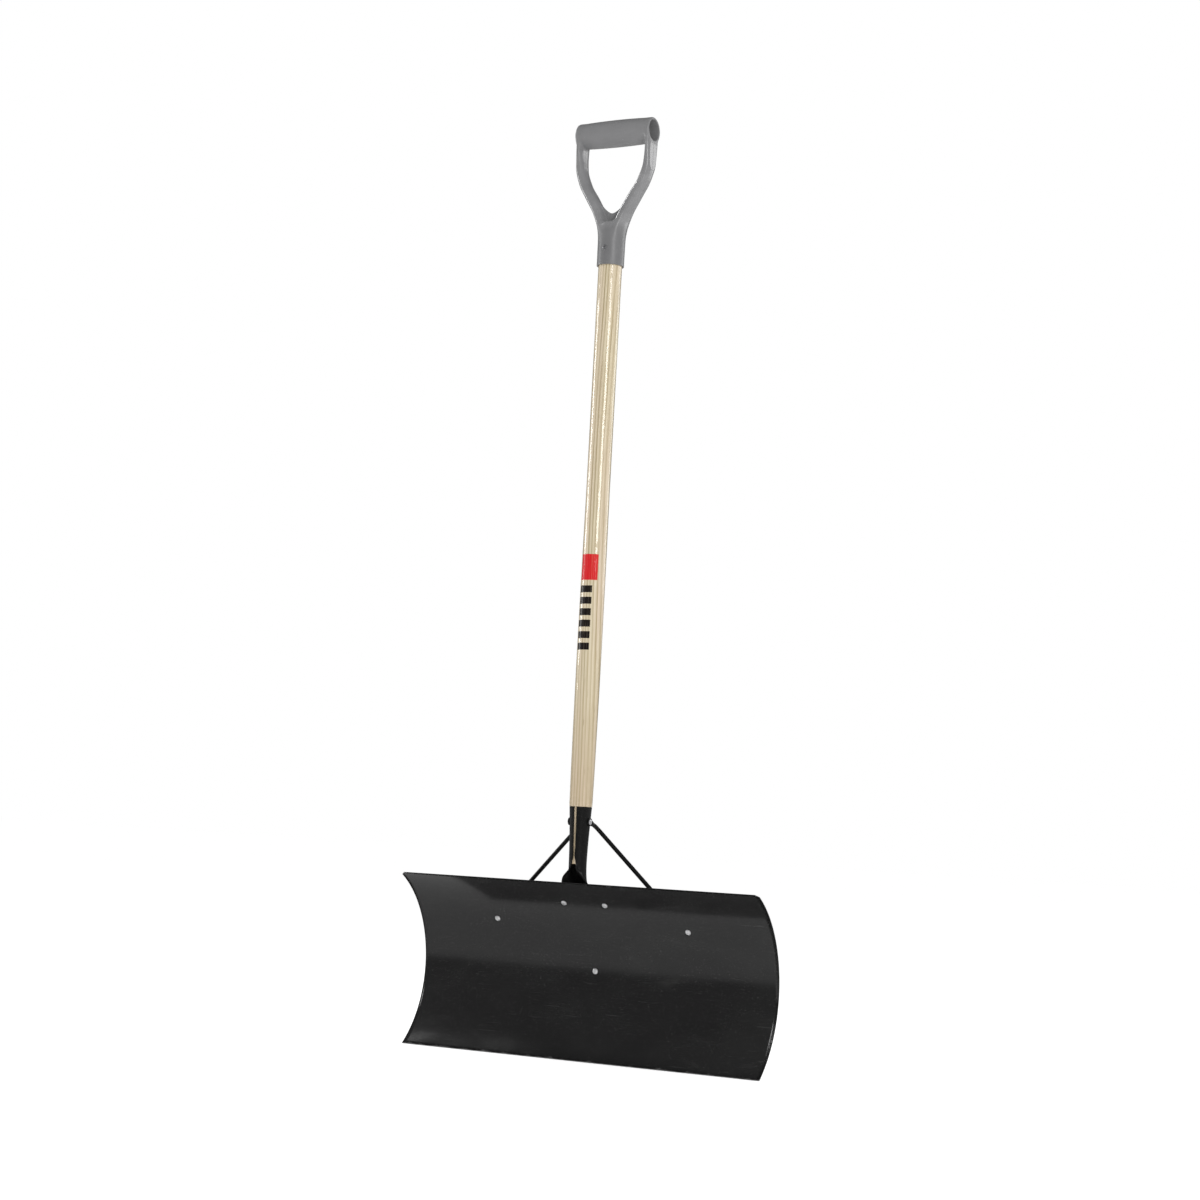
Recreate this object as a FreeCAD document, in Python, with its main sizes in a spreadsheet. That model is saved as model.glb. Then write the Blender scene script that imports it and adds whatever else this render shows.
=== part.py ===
import FreeCAD
import Part
import math
import os
import Sketcher
from FreeCAD import Placement, Rotation, Vector

# Snow shovel: a curved steel blade riveted and braced to a rolled steel socket, a turned wood
# shaft and a moulded D-grip. Millimetres. Origin: middle of the blade's cutting edge.
# +Z runs up the handle, -Y is the side the hollow face of the blade looks to, +X is across.

SIZES = {
    # Blade: one sheet rolled to an arc. Angles are from level at the arc's centre.
    "blade_width": 610,
    "blade_radius": 161,
    "blade_sheet": 1.5,
    "blade_top_angle": 62,
    "blade_edge_angle": 48,
    "corner_clip": 6,
    "upper_rivet_angle": 44,
    "upper_rivet_reach": 35,
    "brace_rivet_angle": 30,
    "brace_rivet_reach": 164,
    "lower_rivet_angle": 4,
    # The handle's axis stands this far in front of the cutting edge.
    "handle_lead": 19,
    # Socket: rolled sheet, open down its front.
    "socket_sheet": 1.6,
    "socket_rim": 375,
    "socket_rim_radius": 16,
    "socket_foot": 292,
    "socket_foot_radius": 12.6,
    "seam_gap": 4.6,
    "seam_foot_gap": 3.2,
    "seat_clearance": 0.15,
    "cross_rivet_level": 353,
    # Wood shaft, turned down to a tenon below its shoulder.
    "tenon_tip": 290.2,
    "tenon_tip_radius": 11.3,
    "tenon_waist": 332,
    "tenon_waist_radius": 12.4,
    "tenon_root_radius": 14.8,
    "shoulder": 375.2,
    "shoulder_radius": 17.1,
    "lower_swell": 445,
    "lower_swell_radius": 17.8,
    "swell": 600,
    "swell_radius": 18.4,
    "neck": 860,
    "neck_radius": 17.7,
    "shaft_top": 1250,
    "shaft_top_radius": 18,
    # D-grip.
    "collar_rim": 1194,
    "collar_rim_radius": 20.8,
    "collar_bore_radius": 18.1,
    "collar_floor": 1251,
    "collar_top_radius": 21.1,
    "collar_crown": 1261,
    "collar_crown_radius": 17,
    "grip_axis": 1401,
    "grip_half_width": 64,
    "grip_end_radius": 19.6,
    "grip_mid_radius": 20.7,
    "grip_bore_radius": 16,
    "grip_edge_round": 3,
    "web_half_thickness": 3,
    "web_notch": 1276,
    "web_top": 1300,
    "web_reach": 30,
    # Grip screw, in the collar's front.
    "screw_level": 1220,
    "screw_head_radius": 3.4,
    "screw_head_height": 1.6,
    "screw_shank_radius": 1.9,
    "screw_length": 20,
    # Braces: round rod with flattened ends.
    "rod_radius": 3.2,
    "eye_radius": 5.8,
    "eye_thickness": 2,
    "eye_gap": 0.05,
    "rod_bend_radius": 7,
    "rod_bend_back": 24,
    "rod_bend_reach": 14.8,
    "rod_bend_level": 346,
    # Rivets.
    "rivet_radius": 2.4,
    "rivet_head_radius": 4.4,
    "rivet_head_height": 1.7,
    "rivet_bulb_radius": 3.7,
    "rivet_bulb_height": 3,
    "mandrel_radius": 1.4,
    "mandrel_ball_radius": 2.2,
    "mandrel_ball_height": 1.6,
    "cross_rivet_radius": 2.9,
    "cross_head_radius": 4.2,
    "cross_head_height": 1.6,
    "hole_clearance": 0.1,
}

ARM_STATIONS = ("root", "throat", "spread", "shoulder", "cheek", "ring", "crown")
ARM_SIZES = {
    # Each station of a grip arm: reach from the handle's axis, level, lean outward in
    # degrees, half thickness across and half depth front to back.
    "root": (10.5, 1242, 12, 8.8, 15.5),
    "throat": (22.2, 1276, 28, 7.4, 14.5),
    "spread": (37, 1302, 34, 8.2, 13),
    "shoulder": (50.4, 1325, 25, 7.9, 12.5),
    "cheek": (58.6, 1350, 11, 7, 13.5),
    "ring": (60, 1376, 0, 5, 16.5),
    "crown": (60, 1401, 0, 3.9, 18),
}
ARM_FIELDS = ("reach", "level", "lean", "half", "depth")

doc = FreeCAD.newDocument("SnowShovel")
sheet = doc.addObject("Spreadsheet::Sheet", "Sizes")


def fill_sheet():
    """Write every driving size to the sheet, one row each, and name its cell."""
    rows = dict(SIZES)
    for station, values in ARM_SIZES.items():
        for field, value in zip(ARM_FIELDS, values):
            rows["arm_" + station + "_" + field] = value
    for row, (name, value) in enumerate(rows.items(), start=1):
        sheet.set("A%d" % row, name)
        sheet.set("B%d" % row, str(value))
        sheet.setAlias("B%d" % row, name)
    doc.recompute()
    return set(rows)


CELLS = fill_sheet()


def amount(text):
    """Value of a sum such as 'socket_rim - seam_gap': cell names and plain numbers."""
    total = 0.0
    sign = 1
    for word in text.split():
        if word in ("+", "-"):
            sign = 1 if word == "+" else -1
        else:
            total += sign * (float(sheet.get(word)) if word in CELLS else float(word))
            sign = 1
    return total


def formula(text):
    """The same sum, written so that another object can be bound to it."""
    return " ".join("Sizes." + word if word in CELLS else word for word in text.split())


def new_body(label, at_handle=True):
    body = doc.addObject("PartDesign::Body", label)
    body.Label = label
    if at_handle:
        body.setExpression("Placement.Base.y", formula("0 - handle_lead"))
    return body


def plane_of(body, role):
    return [item for item in body.Origin.OriginFeatures if item.Role == role][0]


def new_sketch(body, name, role):
    sketch = body.newObject("Sketcher::SketchObject", name)
    sketch.AttachmentSupport = [(plane_of(body, role), "")]
    sketch.MapMode = "FlatFace"
    return sketch


def pin_axis(sketch, kind, geometry, point, text):
    """Hold one coordinate of a sketch point at a sum of cells."""
    value = amount(text)
    if abs(value) < 1e-9:
        axis = -2 if kind == "DistanceX" else -1
        sketch.addConstraint(Sketcher.Constraint("PointOnObject", geometry, point, axis))
        return
    if value > 0:
        index = sketch.addConstraint(Sketcher.Constraint(kind, -1, 1, geometry, point, value))
        sketch.setExpression("Constraints[%d]" % index, formula(text))
        return
    index = sketch.addConstraint(Sketcher.Constraint(kind, geometry, point, -1, 1, -value))
    sketch.setExpression("Constraints[%d]" % index, "-(" + formula(text) + ")")


def arc_between(start, end, radius, turn):
    """Arc from start to end. turn 1 runs anticlockwise, -1 clockwise."""
    chord = end - start
    half = chord.Length / 2
    side = Vector(-chord.y, chord.x, 0).normalize()
    centre = (start + end) * 0.5 + side * turn * math.sqrt(radius * radius - half * half)
    first, last = (start, end) if turn > 0 else (end, start)
    from_angle = math.atan2(first.y - centre.y, first.x - centre.x)
    to_angle = math.atan2(last.y - centre.y, last.x - centre.x)
    circle = Part.Circle(centre, Vector(0, 0, 1), radius)
    return Part.ArcOfCircle(circle, from_angle, to_angle)


def outline(body, name, role, corners):
    """Closed outline. A corner is (across, up), or (across, up, radius, turn) where the side
    that leaves it is round. Every corner and radius is bound to the sheet."""
    sketch = new_sketch(body, name, role)
    points = [Vector(amount(corner[0]), amount(corner[1]), 0) for corner in corners]
    ends = []
    for index, corner in enumerate(corners):
        start = points[index]
        end = points[(index + 1) % len(points)]
        if len(corner) == 2:
            side = sketch.addGeometry(Part.LineSegment(start, end))
            ends.append((side, 1, 2))
        else:
            side = sketch.addGeometry(arc_between(start, end, amount(corner[2]), corner[3]))
            ends.append((side, 1, 2) if corner[3] > 0 else (side, 2, 1))
            bound = sketch.addConstraint(Sketcher.Constraint("Radius", side, amount(corner[2])))
            sketch.setExpression("Constraints[%d]" % bound, formula(corner[2]))
    for index, corner in enumerate(corners):
        before = ends[index - 1]
        after = ends[index]
        sketch.addConstraint(
            Sketcher.Constraint("Coincident", before[0], before[2], after[0], after[1])
        )
        pin_axis(sketch, "DistanceX", after[0], after[1], corner[0])
        pin_axis(sketch, "DistanceY", after[0], after[1], corner[1])
    return sketch


def circles(body, name, role, spots):
    """Circles, each (across, up, radius) in sums of cells."""
    sketch = new_sketch(body, name, role)
    for across, up, radius in spots:
        centre = Vector(amount(across), amount(up), 0)
        ring = sketch.addGeometry(Part.Circle(centre, Vector(0, 0, 1), amount(radius)))
        bound = sketch.addConstraint(Sketcher.Constraint("Radius", ring, amount(radius)))
        sketch.setExpression("Constraints[%d]" % bound, formula(radius))
        pin_axis(sketch, "DistanceX", ring, 3, across)
        pin_axis(sketch, "DistanceY", ring, 3, up)
    return sketch


def spin(body, name, sketch, axis):
    """Revolve a sketch a full turn about one of its own axes."""
    turned = body.newObject("PartDesign::Revolution", name)
    turned.Profile = sketch
    turned.ReferenceAxis = (sketch, [axis])
    turned.Angle = 360
    return turned


def drill(body, name, sketch, both_ways=False):
    """Pocket along a sketch's normal, away from the way its normal points."""
    before = body.Shape.Volume
    cut = body.newObject("PartDesign::Pocket", name)
    cut.Profile = sketch
    cut.Type = "ThroughAll"
    cut.Midplane = both_ways
    doc.recompute()
    if body.Shape.Volume > before - 1:
        raise RuntimeError(name + " cuts nothing")
    return cut


def feature(label, shape):
    """Document object holding a solid that is drawn around the handle's axis."""
    item = doc.addObject("Part::Feature", label)
    item.Label = label
    item.Shape = shape
    at_handle = Placement(Vector(0, -amount("handle_lead"), 0), Rotation())
    item.Placement = at_handle.multiply(shape.Placement)
    return item


# --- Places shared by several pieces, all relative to the handle's axis -------------------


def blade_centre():
    """Centre of the blade's arc: X is 0, the other two are level and height."""
    edge = math.radians(amount("blade_edge_angle"))
    radius = amount("blade_radius")
    return Vector(0, amount("handle_lead") - radius * math.cos(edge), radius * math.sin(edge))


def outward(angle):
    """Unit vector from the arc's centre through the blade at this angle."""
    return Vector(0, math.cos(math.radians(angle)), math.sin(math.radians(angle)))


def on_blade(angle, reach, height):
    """Point at this height off the middle of the sheet, on the blade's convex side."""
    along = outward(angle) * (amount("blade_radius") + height)
    return blade_centre() + along + Vector(reach, 0, 0)


def socket_radius(level):
    """Middle of the socket's sheet: nearly parallel at the foot, flaring to the rim."""
    foot = amount("socket_foot")
    share = max(0.0, level - foot) / (amount("socket_rim") - foot)
    growth = amount("socket_rim_radius") - amount("socket_foot_radius")
    return amount("socket_foot_radius") + growth * share**1.5


# --- Blade ---------------------------------------------------------------------------------


def eye_face():
    """Reach of a brace eye's outer face. The eye stands clear of the flaring socket wall."""
    wall = socket_radius(amount("cross_rivet_level") + amount("eye_radius"))
    return wall + amount("socket_sheet") / 2 + amount("eye_gap") + amount("eye_thickness")


def build_blade():
    body = new_body("blade", at_handle=False)
    body.setExpression("Placement.Base.y", "-Sizes.blade_radius * cos(Sizes.blade_edge_angle)")
    body.setExpression("Placement.Base.z", "Sizes.blade_radius * sin(Sizes.blade_edge_angle)")
    sketch = new_sketch(body, "blade_section", "YZ_Plane")
    half_sheet = amount("blade_sheet") / 2
    top = math.radians(amount("blade_top_angle"))
    edge = -math.radians(amount("blade_edge_angle"))
    arcs = []
    for sign, text in ((-1, "-"), (1, "+")):
        radius = amount("blade_radius") + sign * half_sheet
        circle = Part.Circle(Vector(0, 0, 0), Vector(0, 0, 1), radius)
        arc = sketch.addGeometry(Part.ArcOfCircle(circle, edge, top))
        sketch.addConstraint(Sketcher.Constraint("Coincident", arc, 3, -1, 1))
        bound = sketch.addConstraint(Sketcher.Constraint("Radius", arc, radius))
        size = "Sizes.blade_radius %s Sizes.blade_sheet / 2" % text
        sketch.setExpression("Constraints[%d]" % bound, size)
        arcs.append(arc)
    for point, angle, cell in ((1, edge, "-Sizes.blade_edge_angle"), (2, top, "Sizes.blade_top_angle")):
        ray = Vector(math.cos(angle), math.sin(angle), 0)
        inner = ray * (amount("blade_radius") - half_sheet)
        outer = ray * (amount("blade_radius") + half_sheet)
        end = sketch.addGeometry(Part.LineSegment(inner, outer))
        sketch.addConstraint(Sketcher.Constraint("Coincident", end, 1, arcs[0], point))
        sketch.addConstraint(Sketcher.Constraint("Coincident", end, 2, arcs[1], point))
        bound = sketch.addConstraint(Sketcher.Constraint("Angle", end, angle))
        sketch.setExpression("Constraints[%d]" % bound, cell + " * 1 deg")
    pad = body.newObject("PartDesign::Pad", "blade_sheet_pad")
    pad.Profile = sketch
    pad.SideType = "Symmetric"
    pad.setExpression("Length", "Sizes.blade_width")
    doc.recompute()
    clip = body.newObject("PartDesign::Chamfer", "corner_clips")
    clip.Base = (pad, top_corner_edges(pad.Shape))
    clip.setExpression("Size", "Sizes.corner_clip")
    doc.recompute()
    rows = (
        ("upper_rivet_holes", "upper_rivet_angle", ("upper_rivet_reach", "0 - upper_rivet_reach")),
        ("brace_rivet_holes", "brace_rivet_angle", ("brace_rivet_reach", "0 - brace_rivet_reach")),
        ("lower_rivet_hole", "lower_rivet_angle", ("0",)),
    )
    for name, angle, reaches in rows:
        spots = [(reach, "0", "rivet_radius + hole_clearance") for reach in reaches]
        holes = circles(body, name + "_sketch", "XZ_Plane", spots)
        holes.AttachmentOffset = Placement(Vector(), Rotation(Vector(1, 0, 0), amount(angle)))
        holes.setExpression("AttachmentOffset.Rotation.Angle", "Sizes.%s * 1 deg" % angle)
        drill(body, name, holes)


def top_corner_edges(shape):
    """Names of the two short edges at the ends of the blade's top."""
    names = []
    for number, edge in enumerate(shape.Edges, start=1):
        middle = edge.CenterOfMass
        at_end = abs(abs(middle.x) - amount("blade_width") / 2) < 0.01
        if at_end and middle.z > 0 and abs(edge.Length - amount("blade_sheet")) < 0.01:
            names.append("Edge%d" % number)
    return names


# --- Socket --------------------------------------------------------------------------------


def section_curve(crown_radius, turn, bend_radius, finish, tail, steps):
    """Half of a bent-sheet section, from its crown out to its free edge.

    The sheet turns through `turn` at the crown radius, bends back to the direction `finish`
    and runs straight for `tail`. Returns (across, drop) points evenly spaced along it."""
    crown = crown_radius * turn
    bend = bend_radius * (turn - finish)
    total = crown + bend + tail
    points = []
    for step in range(steps + 1):
        run = total * step / steps
        angle = min(run, crown) / crown_radius
        across = crown_radius * math.sin(angle)
        drop = crown_radius * (1 - math.cos(angle))
        if run > crown and bend > 0:
            back = turn - min(run - crown, bend) / bend_radius
            across += bend_radius * (math.sin(turn) - math.sin(back))
            drop += bend_radius * (math.cos(back) - math.cos(turn))
        if run > crown + bend:
            across += (run - crown - bend) * math.cos(finish)
            drop += (run - crown - bend) * math.sin(finish)
        points.append((across, drop))
    return points


def full_section(crown, tilt, half_curve):
    """Points of a whole section, left edge to right edge, in the plane tilted about X."""
    direction = outward(tilt)
    right = [crown - direction * drop + Vector(across, 0, 0) for across, drop in half_curve]
    left = [Vector(-point.x, point.y, point.z) for point in reversed(right[1:])]
    return left + right


def socket_sections(steps):
    """Sections of the sheet's middle surface from the rim down to the tip of the frog."""
    sections = []
    # Closed tube with its seam at the front.
    tube_levels = 6
    rim = amount("socket_rim")
    tube_end = amount("socket_foot") + 8
    for number in range(tube_levels):
        share = number / (tube_levels - 1)
        level = rim + (tube_end - rim) * share
        radius = socket_radius(level)
        gap = amount("seam_gap") + (amount("seam_foot_gap") - amount("seam_gap")) * share
        turn = math.pi - gap / 2 / radius
        curve = section_curve(radius, turn, 1, turn, 0, steps)
        sections.append(full_section(Vector(0, radius, level), 0, curve))
    # Throat: the seam opens, its lips turn outward and the sections tip over to the blade.
    # crown level and depth, tilt, turn, bend radius, finish, tail
    throat = (
        (294, 12.6, 0, 165, 4, 163, 0.1),
        (287.5, 12.6, 11, 140, 4, 102, 2.2),
        (281.5, 12.8, 22, 112, 4, 52, 7),
        (275, 13.5, 32, 98, 5, 32, 8.6),
        (268.5, 15.2, 42, 88, 6, 13, 7.5),
    )
    for level, depth, tilt, turn, bend_radius, finish, tail in throat:
        radius = amount("socket_foot_radius")
        turned = math.radians(turn)
        curve = section_curve(radius, turned, bend_radius, math.radians(finish), tail, steps)
        sections.append(full_section(Vector(0, depth, level), tilt, curve))
    # Frog: wings flat on the back of the blade, with a ridge that dies away downward.
    # angle on the blade, ridge height, half width
    frog = (
        (51.5, 14.2, 33),
        (47.5, 11.6, 41),
        (43, 9.4, 44.5),
        (37, 7.4, 42),
        (30, 5.6, 35.5),
        (22, 3.2, 28),
        (14, 1, 21.5),
        (7, 0, 17),
        (0, 0, 11.5),
    )
    seat = amount("blade_sheet") / 2 + amount("seat_clearance") + amount("socket_sheet") / 2
    for angle, height, half_width in frog:
        radius = amount("socket_foot_radius")
        bend_radius = radius - 6 * height / 14
        turned = math.acos(1 - height / (radius + bend_radius))
        tail = half_width - (radius + bend_radius) * math.sin(turned)
        curve = section_curve(radius, turned, bend_radius, 0, tail, steps)
        sections.append(full_section(on_blade(angle, 0, seat + height), angle, curve))
    return sections


def smooth_grid(sections, splits, least_radius):
    """Grid of points through the sections, with `splits` rows from each section to the next.

    Each column follows a cubic between its own neighbours only, so the straight tube stays
    straight beside the throat. No point comes nearer to the axis of the blade's arc than
    least_radius, so the sheet lies on the blade and never in it."""
    middle = len(sections[0]) // 2
    stations = [0.0]
    for above, below in zip(sections, sections[1:]):
        stations.append(stations[-1] + (below[middle] - above[middle]).Length)
    last = len(sections) - 1

    def slope(row, column):
        before = max(row - 1, 0)
        after = min(row + 1, last)
        rates = []
        for first, second in ((before, row), (row, after)):
            span = stations[second] - stations[first]
            if span > 0:
                change = sections[second][column] - sections[first][column]
                rates.append((change * (1 / span), span))
        if len(rates) == 1:
            return rates[0][0]
        (rate_a, span_a), (rate_b, span_b) = rates
        return (rate_a * span_b + rate_b * span_a) * (1 / (span_a + span_b))

    centre = blade_centre()
    grid = []
    for number in range(last * splits + 1):
        row = min(number // splits, last - 1)
        share = number / splits - row
        span = stations[row + 1] - stations[row]
        line = []
        for column in range(len(sections[0])):
            point = (
                sections[row][column] * (1 - share * share * (3 - 2 * share))
                + sections[row + 1][column] * (share * share * (3 - 2 * share))
                + slope(row, column) * (span * share * (1 - share) * (1 - share))
                - slope(row + 1, column) * (span * share * share * (1 - share))
            )
            spoke = Vector(0, point.y - centre.y, point.z - centre.z)
            lift = least_radius - spoke.Length
            if lift > 0:
                point = point + spoke.normalize() * lift
            line.append(point)
        grid.append(line)
    return grid


def grid_normal(grid, row, column):
    """Unit normal of a grid of points, by differences to its neighbours."""
    rows = len(grid) - 1
    columns = len(grid[0]) - 1
    down = grid[min(row + 1, rows)][column] - grid[max(row - 1, 0)][column]
    across = grid[row][min(column + 1, columns)] - grid[row][max(column - 1, 0)]
    return across.cross(down).normalize()


def closed_solid(faces):
    shell = Part.makeShell(faces)
    shell.sewShape()
    solid = Part.makeSolid(shell)
    if solid.Volume < 0:
        solid.reverse()
    return solid


def sheet_solid(grid, thickness):
    """Solid sheet of even thickness around a grid of middle points."""
    faces = []
    skins = []
    for side in (-0.5, 0.5):
        points = []
        for row in range(len(grid)):
            normals = [grid_normal(grid, row, column) for column in range(len(grid[row]))]
            pairs = zip(grid[row], normals)
            points.append([point + normal * side * thickness for point, normal in pairs])
        skin = Part.BSplineSurface()
        skin.interpolate(points)
        skins.append(skin)
        faces.append(skin.toShape())
    first_u, last_u, first_v, last_v = skins[0].bounds()
    second = skins[1].bounds()
    rims = (
        (skins[0].uIso(first_u), skins[1].uIso(second[0])),
        (skins[0].uIso(last_u), skins[1].uIso(second[1])),
        (skins[0].vIso(first_v), skins[1].vIso(second[2])),
        (skins[0].vIso(last_v), skins[1].vIso(second[3])),
    )
    for inner, outer in rims:
        faces.append(Part.makeRuledSurface(inner.toShape(), outer.toShape(), 1))
    return closed_solid(faces)


def rivet_spots():
    """Seats of the three socket rivets: middle of the sheet and outward direction."""
    upper = amount("upper_rivet_angle")
    reach = amount("upper_rivet_reach")
    lower = amount("lower_rivet_angle")
    return (
        (on_blade(upper, -reach, 0), outward(upper)),
        (on_blade(upper, reach, 0), outward(upper)),
        (on_blade(lower, 0, 0), outward(lower)),
    )


def build_socket():
    seat = amount("blade_sheet") / 2 + amount("seat_clearance") + amount("socket_sheet") / 2
    grid = smooth_grid(socket_sections(20), 3, amount("blade_radius") + seat)
    solid = sheet_solid(grid, amount("socket_sheet"))
    hole = amount("rivet_radius") + amount("hole_clearance")
    reach = 12
    for seat, direction in rivet_spots():
        solid = solid.cut(Part.makeCylinder(hole, reach, seat, direction))
    hole = amount("cross_rivet_radius") + amount("hole_clearance")
    half = 30
    start = Vector(-half, 0, amount("cross_rivet_level"))
    solid = solid.cut(Part.makeCylinder(hole, 2 * half, start, Vector(1, 0, 0)))
    feature("handle_socket", solid)


# --- Shaft ---------------------------------------------------------------------------------


def build_shaft():
    body = new_body("handle_shaft")
    tenon = outline(
        body,
        "tenon_profile",
        "XZ_Plane",
        [
            ("0", "tenon_tip"),
            ("tenon_tip_radius", "tenon_tip"),
            ("tenon_waist_radius", "tenon_waist"),
            ("tenon_root_radius", "shoulder"),
            ("0", "shoulder"),
        ],
    )
    spin(body, "tenon", tenon, "V_Axis")
    rings = []
    stations = ("shoulder", "lower_swell", "swell", "neck", "shaft_top")
    for station in stations:
        ring = circles(body, station + "_ring", "XY_Plane", [("0", "0", station + "_radius")])
        ring.setExpression("AttachmentOffset.Base.z", formula(station))
        rings.append(ring)
    barrel = body.newObject("PartDesign::AdditiveLoft", "barrel")
    barrel.Profile = rings[0]
    barrel.Sections = rings[1:]
    doc.recompute()
    spots = [("0", "cross_rivet_level", "cross_rivet_radius + hole_clearance")]
    drill(body, "cross_hole", circles(body, "cross_hole_sketch", "YZ_Plane", spots), True)
    spots = [("0", "screw_level", "screw_shank_radius")]
    pilot = body.newObject("PartDesign::Pocket", "screw_pilot")
    pilot.Profile = circles(body, "screw_pilot_sketch", "XZ_Plane", spots)
    pilot.Type = "Length"
    pilot.setExpression("Length", "Sizes.collar_top_radius")
    pilot.Reversed = True
    doc.recompute()


# --- D-grip --------------------------------------------------------------------------------


def arm_ring(body, station):
    """Oval section of the right arm at one station, square to the arm."""
    prefix = "arm_" + station + "_"
    sketch = new_sketch(body, prefix + "ring", "XY_Plane")
    half = amount(prefix + "half")
    depth = amount(prefix + "depth")
    oval = Part.Ellipse(Vector(0, depth, 0), Vector(half, 0, 0), Vector(0, 0, 0))
    sketch.addGeometry(oval)
    sketch.exposeInternalGeometry(0)
    sketch.addConstraint(Sketcher.Constraint("Coincident", 0, 3, -1, 1))
    sketch.addConstraint(Sketcher.Constraint("Vertical", 1))
    for line, field in ((1, "depth"), (2, "half")):
        length = 2 * amount(prefix + field)
        bound = sketch.addConstraint(Sketcher.Constraint("Distance", line, length))
        sketch.setExpression("Constraints[%d]" % bound, "2 * Sizes." + prefix + field)
    lean = amount(prefix + "lean")
    sketch.AttachmentOffset = Placement(Vector(), Rotation(Vector(0, 1, 0), max(lean, 0.001)))
    sketch.setExpression("AttachmentOffset.Base.x", "Sizes." + prefix + "reach")
    sketch.setExpression("AttachmentOffset.Base.z", "Sizes." + prefix + "level")
    sketch.setExpression("AttachmentOffset.Rotation.Angle", "Sizes." + prefix + "lean * 1 deg")
    return sketch


def build_grip():
    body = new_body("d_grip")
    collar = outline(
        body,
        "collar_profile",
        "XZ_Plane",
        [
            ("collar_bore_radius", "collar_rim"),
            ("collar_rim_radius", "collar_rim"),
            ("collar_top_radius", "collar_floor - 6"),
            ("collar_crown_radius", "collar_crown"),
            ("0", "collar_crown"),
            ("0", "collar_floor"),
            ("collar_bore_radius", "collar_floor"),
        ],
    )
    spin(body, "collar", collar, "V_Axis")
    rings = [arm_ring(body, station) for station in ARM_STATIONS]
    arm = body.newObject("PartDesign::AdditiveLoft", "right_arm")
    arm.Profile = rings[0]
    arm.Sections = rings[1:]
    doc.recompute()
    other = body.newObject("PartDesign::Mirrored", "left_arm")
    other.Originals = [arm]
    other.MirrorPlane = (plane_of(body, "YZ_Plane"), [""])
    body.Tip = other
    doc.recompute()
    web = outline(
        body,
        "web_outline",
        "XZ_Plane",
        [
            ("0 - collar_crown_radius", "collar_floor + 1"),
            ("collar_crown_radius", "collar_floor + 1"),
            ("web_reach", "web_top"),
            ("0", "web_notch"),
            ("0 - web_reach", "web_top"),
        ],
    )
    plate = body.newObject("PartDesign::Pad", "web")
    plate.Profile = web
    plate.SideType = "Symmetric"
    plate.setExpression("Length", "2 * Sizes.web_half_thickness")
    doc.recompute()
    half_width = "grip_half_width"
    tube = outline(
        body,
        "hand_tube_profile",
        "XZ_Plane",
        [
            ("0 - " + half_width, "grip_axis"),
            (half_width, "grip_axis"),
            (half_width, "grip_axis + grip_end_radius - grip_edge_round"),
            (half_width + " - grip_edge_round", "grip_axis + grip_end_radius"),
            ("0", "grip_axis + grip_mid_radius"),
            ("0 - " + half_width + " + grip_edge_round", "grip_axis + grip_end_radius"),
            ("0 - " + half_width, "grip_axis + grip_end_radius - grip_edge_round"),
        ],
    )
    hand_tube = body.newObject("PartDesign::Revolution", "hand_tube")
    hand_tube.Profile = tube
    hand_tube.ReferenceAxis = (tube, ["Edge1"])
    hand_tube.Angle = 360
    doc.recompute()
    spots = [("0", "grip_axis", "grip_bore_radius")]
    drill(body, "hand_bore", circles(body, "hand_bore_sketch", "YZ_Plane", spots), True)
    bore = [("0", "0", "collar_bore_radius")]
    clear = body.newObject("PartDesign::Pocket", "collar_bore")
    clear.Profile = circles(body, "collar_bore_sketch", "XY_Plane", bore)
    clear.Type = "Length"
    clear.setExpression("Length", "Sizes.collar_floor")
    clear.Reversed = True
    doc.recompute()
    spots = [("0", "screw_level", "screw_shank_radius + hole_clearance")]
    hole = body.newObject("PartDesign::Pocket", "screw_hole")
    hole.Profile = circles(body, "screw_hole_sketch", "XZ_Plane", spots)
    hole.Type = "Length"
    hole.setExpression("Length", "Sizes.collar_top_radius + 5")
    hole.Reversed = True
    doc.recompute()


# --- Braces --------------------------------------------------------------------------------


def rod_run(start, corner, end, bend_radius):
    """Round rod from start to end with a bend of the given inner radius near the corner."""
    into = (corner - start).normalize()
    out = (end - corner).normalize()
    swing = into.getAngle(out)
    cutback = bend_radius * math.tan(swing / 2)
    rise = bend_radius / math.cos(swing / 2) - bend_radius
    arc_start = corner - into * cutback
    arc_end = corner + out * cutback
    middle = corner + (out - into).normalize() * rise
    path = Part.Wire(
        [
            Part.LineSegment(start, arc_start).toShape(),
            Part.Arc(arc_start, middle, arc_end).toShape(),
            Part.LineSegment(arc_end, end).toShape(),
        ]
    )
    section = Part.Wire(Part.Circle(start, into, amount("rod_radius")).toShape())
    return path.makePipeShell([section], True, False)


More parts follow.
